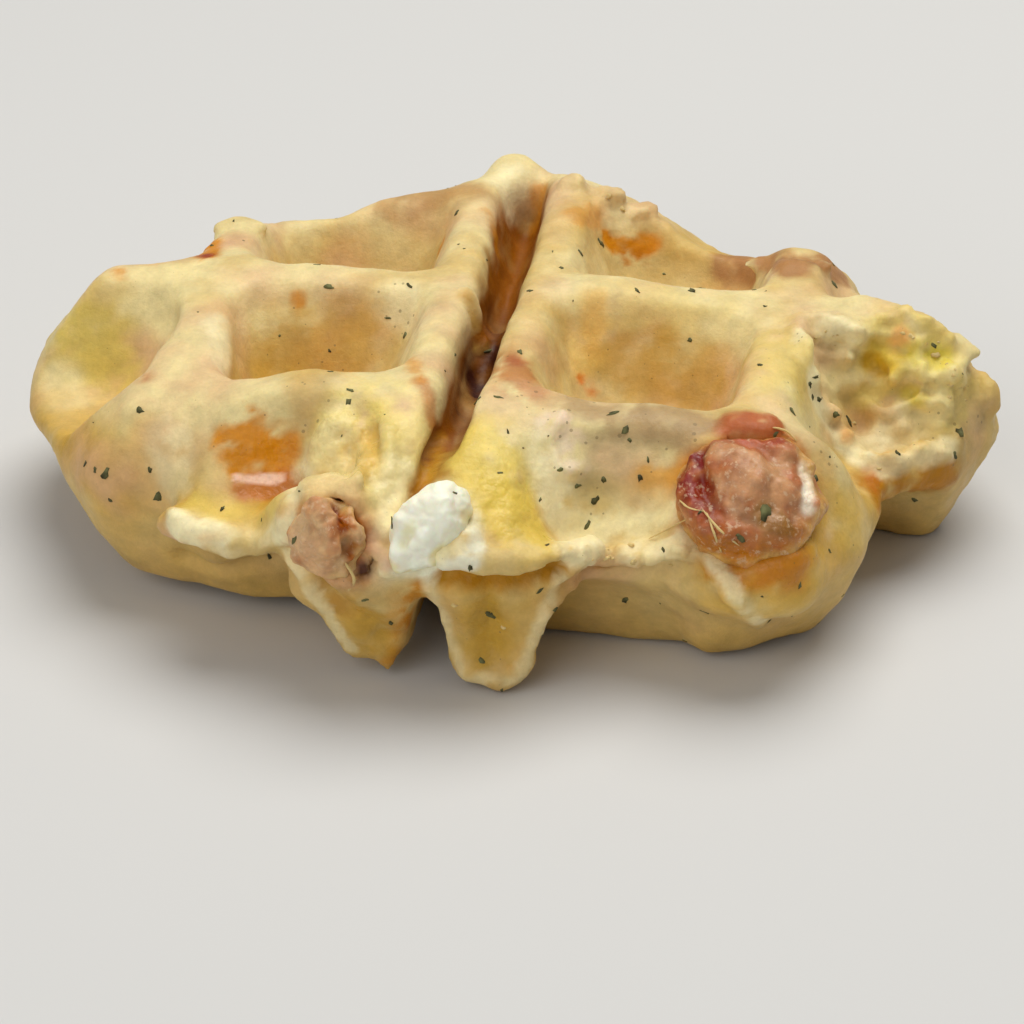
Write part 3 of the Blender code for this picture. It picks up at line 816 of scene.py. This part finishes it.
def make_crust(name, scatter=0.12, bump=0.4, mottle=0.12, coat=0.0, specular=0.26,
               fleck=(0.16, 0.11, 0.04), pale=0.0):
    """Baked or moist food: colours from the mesh, mottled, with pores, blisters and dark specks."""
    found = bpy.data.materials.new(name)
    found.use_nodes = True
    net = found.node_tree
    shader = net.nodes["Principled BSDF"]
    place = node(net, "ShaderNodeTexCoord").outputs["Object"]
    parts = node(net, "ShaderNodeSeparateColor")
    link(net, attribute(net, "Feel"), parts.inputs["Color"])
    wet, dots = parts.outputs["Red"], parts.outputs["Green"]

    def texture(scale_mm, detail, rough=0.6):
        made = node(net, "ShaderNodeTexNoise",
                    Scale=1 / (scale_mm * MM), Detail=detail, Roughness=rough)
        link(net, place, made.inputs["Vector"])
        return made.outputs["Fac"]

    def cells(scale_mm):
        made = node(net, "ShaderNodeTexVoronoi", Scale=1 / (scale_mm * MM))
        link(net, place, made.inputs["Vector"])
        return made.outputs["Distance"]

    # lighter and darker clouds, and finer ones a third as strong
    fine = mottle * 0.35
    shade = node(net, "ShaderNodeVectorMath")
    shade.operation = "SCALE"
    link(net, attribute(net, "Tint"), shade.inputs[0])
    clouds = spread(net, texture(2.4, 5.0), 0.3, 0.7, 1 - mottle, 1 + mottle)
    grain = spread(net, texture(0.45, 4.0), 0.3, 0.7, 1 - fine, 1 + fine)
    link(net, calculate(net, "MULTIPLY", clouds, grain), shade.inputs["Scale"])

    # dark specks of herb and spice, larger where the mesh says so
    size = calculate(net, "MULTIPLY_ADD", dots, 0.13, 0.035)
    inside = calculate(net, "LESS_THAN", cells(1.3), size)
    half = calculate(net, "MULTIPLY", inside, 0.5)
    colour = blend(net, half, shade.outputs["Vector"], fleck)
    if pale:
        dust = spread(net, texture(0.7, 3.0, 0.7), 0.56, 0.66, 0.0, pale)
        colour = blend(net, dust, colour, (0.66, 0.45, 0.27))
    link(net, colour, shader.inputs["Base Color"])

    # pores and small blisters, which stand out more where it is wet
    strong = spread(net, wet, 0.0, 1.0, -0.1, -0.7)
    height = calculate(net, "MULTIPLY_ADD", cells(0.75), strong, texture(0.9, 5.0, 0.7))
    bumps = node(net, "ShaderNodeBump", Strength=bump, Distance=0.35 * MM)
    link(net, height, bumps.inputs["Height"])
    link(net, bumps.outputs["Normal"], shader.inputs["Normal"])

    # gloss: uneven, and moister where oil or juice soaked in
    dry = spread(net, texture(3.0, 3.0), 0.35, 0.65, 0.4, 0.6)
    gloss = calculate(net, "MULTIPLY_ADD", wet, -0.26, dry)
    link(net, gloss, shader.inputs["Roughness"])
    shader.inputs["Subsurface Weight"].default_value = scatter
    shader.inputs["Subsurface Radius"].default_value = (1.0, 0.5, 0.2)
    shader.inputs["Subsurface Scale"].default_value = 2.0 * MM
    shader.inputs["Specular IOR Level"].default_value = specular
    shader.inputs["Coat Weight"].default_value = coat
    shader.inputs["Coat Roughness"].default_value = 0.25
    return found


def dress(obj, material):
    obj.data.materials.clear()
    obj.data.materials.append(material)
    obj.data.shade_smooth()
    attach(obj, "root")


dough = make_crust("dough_crust")
dress(skin, dough)
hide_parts("waffle")


# Colours of the baked-in pieces
skin_tree = tree_of(skin)


def colour_piece(obj, base, second, shares, stains_and_highlights, reach, edge_tint, edge_shares):
    """Base colour, second colour in patches, stains and painted highlights, and an edge tint where
    dough is near.

    shares: of the second colour everywhere, by patch and by fine noise. reach in mm.
    """
    flesh = Paint(obj, base)
    even, patch, fine = shares
    flesh.colour = mix(flesh.colour, second, even + patch * flesh.patch + fine * flesh.fine)
    flesh.daub_all(stains_and_highlights)
    edge = closeness(flesh.co, skin_tree, reach)
    even, fine = edge_shares
    flesh.colour = mix(flesh.colour, edge_tint, edge * (even + fine * flesh.fine))
    flesh.write()


tomato = make_crust("tomato_flesh", scatter=0.15, bump=0.45, mottle=0.22, coat=0.08, specular=0.4,
                    pale=0.6, fleck=(0.16, 0.04, 0.01))
white = make_crust("cheese_white", scatter=0.3, bump=0.2, mottle=0.05, specular=0.35,
                   fleck=(0.75, 0.72, 0.5))
colour_piece(large, linear(172, 98, 52), linear(198, 146, 98), (0.45, 0, 0.9), (
    (((750, 485), (785, 495)), 5.0, linear(192, 140, 96), 0.8, 1, 0.4),
    (((722, 430), (745, 432), (768, 430)), 4.8, linear(166, 70, 30), 1.0, 0.7, 0.4),
    (((688, 455), (692, 485)), 3.0, linear(124, 24, 8), 1.0, 0.5, 0.6),
    (((700, 496), (712, 526), (738, 552)), 2.4, linear(136, 44, 10), 0.9, 0.8, 0.5),
    (((715, 548), (750, 560), (790, 552)), 3.6, linear(176, 104, 8), 1.0, 0.9, 0.5),
    (((760, 515), (785, 525)), 2.0, linear(130, 90, 30), 0.7, 0.8, 0.3),
    # painted highlight on the glossy tomato skin, near white and wet
    (((806, 468), (808, 508)), 1.3, linear(246, 232, 205), 0.95, 0.5, 1.0),
    (((826, 470), (824, 510), (808, 545)), 2.4, linear(202, 156, 74), 0.95, 0.9, 0.4),
    (((795, 438), (818, 458)), 2.0, linear(192, 146, 80), 0.9, 0.9, 0.2),
), 1.7, linear(208, 160, 84), (0.75, 0.9))
dress(large, tomato)
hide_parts("tomato_large")

colour_piece(little, linear(206, 164, 114), linear(184, 118, 70), (0.25, 0, 0.9), (
    (((337, 504), (346, 526)), 1.2, linear(126, 26, 6), 0.95, 0.5, 0.5),
    (((348, 512), (352, 530), (356, 552)), 1.5, linear(176, 96, 0), 0.9, 0.7, 0.5),
    (((300, 520), (298, 545)), 1.6, linear(214, 178, 128), 0.7, 0.8, 0.2),
    (((366, 572), (360, 576)), 1.2, linear(70, 18, 2), 0.95, 0.5, 0.4),
    (((310, 545), (320, 575)), 1.8, linear(208, 164, 118), 0.7, 0.8, 0.4),
), 1.6, linear(212, 176, 108), (0.75, 1.2))
dress(little, tomato)
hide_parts("tomato_small")

colour_piece(curd, linear(246, 246, 224), linear(240, 232, 184), (0.2, 0.5, 0), (
    (((468, 520), (470, 545)), 1.8, BUTTER, 0.5, 1, 0.2),
    (((394, 562), (400, 566)), 1.0, ROSE, 0.4, 1),
    (((410, 525), (405, 545)), 1.0, linear(230, 222, 160), 0.5, 0.8),
), 1.0, linear(236, 222, 164), (0.6, 1.2))
dress(curd, white)
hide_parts("cheese")

# Dried herb flecks, pressed into the surface
FLAKE_CORNERS = 9
FLAKE_SUNK, FLAKE_TOP = -0.06, 0.035  # mm from the surface
FLAKE_MARGIN = 0.2  # of the waffle's box, where no line is aimed
OTHER_FLAKES = 190
trees = [tree_of(obj) for obj in (skin, large, little, curd)]
draw = random.Random(7)


def nearest_hit(origin, direction):
    """Place, normal and distance where a line first meets the waffle, or None."""
    found = None
    for tree in trees:
        place, normal, _, away = tree.ray_cast(origin, direction)
        if place is not None and (found is None or away < found[2]):
            found = (place, normal, away)
    return found


def add_flake(bm, place, normal, length, width):
    """A thin curled leaf scrap that lies on the surface, length and width in mm."""
    along = normal.orthogonal().normalized()
    along.rotate(Matrix.Rotation(draw.uniform(0, 2 * math.pi), 3, normal))
    across = normal.cross(along)
    points = []
    for k in range(FLAKE_CORNERS):
        a = 2 * math.pi * k / FLAKE_CORNERS
        r = draw.uniform(0.5, 1.2)
        points.append((math.cos(a) * length / 2 * r, math.sin(a) * width / 2 * r))
    curl = draw.uniform(-0.02, 0.08)
    rings = []
    for level in (FLAKE_SUNK, FLAKE_TOP):
        ring = []
        for px, py in points:
            lift = level + curl * (px / (length / 2)) ** 2
            ring.append(bm.verts.new(place + (along * px + across * py + normal * lift) * MM))
        rings.append(ring)
    join_rings(bm, rings)


HERB_PIXELS = (
    # pixel, length and width in mm
    (350, 390, 1.4, 0.5), (348, 403, 1.1, 0.8), (328, 287, 1.5, 0.8), (158, 497, 1.6, 1.1),
    (140, 410, 1.2, 0.8), (478, 400, 1.3, 0.5), (498, 397, 1.1, 0.4), (508, 432, 0.9, 0.4),
    (625, 430, 1.1, 0.8), (648, 460, 1.0, 0.4), (613, 413, 1.5, 0.5), (455, 493, 1.5, 0.4),
    (470, 568, 1.3, 0.6), (547, 545, 0.8, 0.5), (588, 524, 1.3, 0.6), (490, 615, 1.6, 0.8),
    (482, 660, 1.1, 0.7), (775, 435, 0.9, 0.9), (765, 513, 1.9, 1.5), (741, 538, 1.2, 0.9),
    (793, 412, 1.3, 0.9), (816, 479, 1.0, 0.8), (849, 421, 1.4, 1.0), (836, 415, 1.0, 0.9),
    (868, 560, 1.0, 1.1), (294, 540, 1.1, 0.6), (392, 523, 1.5, 0.4), (500, 473, 1.0, 0.3),
    (520, 352, 1.0, 0.6), (560, 470, 0.8, 0.6), (596, 500, 1.4, 0.9), (604, 480, 1.1, 0.6),
    (578, 486, 0.9, 0.6), (640, 478, 0.9, 0.7), (630, 440, 0.8, 0.6), (455, 355, 0.9, 0.4),
    (405, 335, 0.8, 0.6), (388, 318, 0.9, 0.5), (580, 252, 1.2, 0.8), (760, 365, 0.9, 0.7),
    (934, 345, 1.1, 0.6), (960, 432, 1.3, 1.0), (955, 455, 1.0, 0.8), (914, 500, 1.2, 0.8),
    (810, 385, 0.9, 0.7), (625, 600, 1.2, 0.8), (800, 585, 0.9, 0.6), (150, 470, 0.8, 0.6),
    (110, 500, 0.8, 0.5), (95, 470, 0.7, 0.5), (700, 512, 1.2, 0.3), (690, 340, 0.7, 0.5),
    (540, 500, 0.7, 0.4), (430, 610, 0.8, 0.4), (365, 600, 0.7, 0.5),
)
bm = bmesh.new()
for u, v, length, width in HERB_PIXELS:
    found = nearest_hit(EYE, sight(u, v))
    if found:
        add_flake(bm, found[0], found[1], length * 0.95, width * 0.9)
# the same kind of flecks on all sides
low, high = cad_box
near, far = 1 - FLAKE_MARGIN, FLAKE_MARGIN
for _ in range(OTHER_FLAKES):
    side = Vector((draw.gauss(0, 1), draw.gauss(0.3, 1), draw.gauss(0, 0.8))).normalized()
    aim = Vector(
        draw.uniform(low[i] * near + high[i] * far, low[i] * far + high[i] * near) for i in range(3)
    )
    found = nearest_hit(aim + side * FAR, -side)
    if found:
        length = draw.uniform(0.3, 1.3) ** 1.3
        add_flake(bm, found[0], found[1], length, length * draw.uniform(0.3, 0.8))
herbs = new_object("herb_flecks", bm)
leaf = bpy.data.materials.new("dried_basil")
leaf.use_nodes = True
net = leaf.node_tree
shader = net.nodes["Principled BSDF"]
cloud = node(net, "ShaderNodeTexNoise", Scale=1 / (1.2 * MM), Detail=4.0)
link(net, node(net, "ShaderNodeTexCoord").outputs["Object"], cloud.inputs["Vector"])
ramp = node(net, "ShaderNodeValToRGB")
stops = ((0.35, (0.055, 0.048, 0.018, 1)), (0.65, (0.17, 0.17, 0.065, 1)))
for stop, (position, colour) in zip(ramp.color_ramp.elements, stops):
    stop.position = position
    stop.color = colour
link(net, cloud.outputs["Fac"], ramp.inputs["Fac"])
link(net, ramp.outputs["Color"], shader.inputs["Base Color"])
shader.inputs["Roughness"].default_value = 0.7
shader.inputs["Specular IOR Level"].default_value = 0.2
dress(herbs, leaf)

# Torn dough fibres, which arch over the surface, and crumbs
FIBRES = (
    # pixels from end to end, radius in mm
    (((648, 540), (672, 528), (702, 512)), 0.10),
    (((702, 510), (720, 530), (740, 546)), 0.13),
    (((706, 512), (714, 534), (722, 552)), 0.12),
    (((680, 500), (690, 508), (704, 512)), 0.10),
    (((345, 562), (352, 578), (348, 590)), 0.20),
    (((772, 428), (784, 432), (796, 442)), 0.12),
)
FIBRE_LIFTS = (0.12, 0.3, 0.12)  # mm over the surface at the three pixels
CRUMBS = (
    # pixels along a torn edge, how many
    (((575, 560), (630, 562), (700, 550)), 12),
    (((880, 330), (950, 360), (960, 410)), 12),
    (((820, 320), (835, 400), (870, 460)), 6),
    (((450, 600), (490, 640), (530, 620)), 3),
    (((590, 200), (650, 220)), 3),
)
CRUMB_SPREAD = 8  # pixels
bm = bmesh.new()
for pixels, radius in FIBRES:
    line = []
    for (u, v), lift in zip(pixels, FIBRE_LIFTS):
        found = nearest_hit(EYE, sight(u, v))
        line.append(found[0] + found[1] * lift * MM)
    add_tube(bm, line, (radius * 0.6, radius, radius * 0.5), 0.06, 0.6, seed=2, sides=7)
for pixels, count in CRUMBS:
    for _ in range(count):
        t = draw.random() * (len(pixels) - 1)
        (u0, v0), (u1, v1) = pixels[int(t)], pixels[int(t) + 1]
        u = u0 + (u1 - u0) * (t % 1) + draw.gauss(0, CRUMB_SPREAD)
        v = v0 + (v1 - v0) * (t % 1) + draw.gauss(0, CRUMB_SPREAD)
        found = nearest_hit(EYE, sight(u, v))
        if found:
            r = draw.uniform(0.15, 0.45)
            radii = (r, r * draw.uniform(0.5, 0.9), r * 0.7)
            centre = found[0] - found[1] * 0.3 * r * MM
            add_blob(bm, centre, radii, 1.2 * r, 0.35, seed=draw.randint(0, 99), level=2)
fibres = new_object("torn_fibres", bm)
Paint(fibres, linear(214, 184, 122)).write()
dress(fibres, dough)

# Floor and light
bm = bmesh.new()
bmesh.ops.create_grid(bm, x_segments=1, y_segments=1, size=3.0)
floor = new_object("floor", bm)
floor_material = bpy.data.materials.new("floor")
floor_material.use_nodes = True
floor_shader = floor_material.node_tree.nodes["Principled BSDF"]
floor_shader.inputs["Base Color"].default_value = (0.62, 0.61, 0.59, 1)
floor_shader.inputs["Roughness"].default_value = 0.8
floor.data.materials.append(floor_material)


def add_light(name, place, size, power, tint):
    """A soft round light that faces the waffle, size in metres, power in watts."""
    light = bpy.data.lights.new(name, "AREA")
    light.shape = "DISK"
    light.size = size
    light.energy = power
    light.color = tint
    obj = bpy.data.objects.new(name, light)
    bpy.context.scene.collection.objects.link(obj)
    obj.location = Vector(place)
    obj.rotation_euler = (MIDDLE - obj.location).to_track_quat("-Z", "Y").to_euler()


add_light("key", place=(0.08, 0.16, 0.62), size=0.6, power=4.0, tint=(1, 0.99, 0.96))
add_light("fill", place=(-0.30, -0.6, 0.42), size=0.7, power=2.1, tint=(1, 1, 1))
world = bpy.data.worlds.new("world")
bpy.context.scene.world = world
world.use_nodes = True
background = world.node_tree.nodes["Background"]
background.inputs["Color"].default_value = (0.96, 0.98, 1, 1)
background.inputs["Strength"].default_value = 0.27
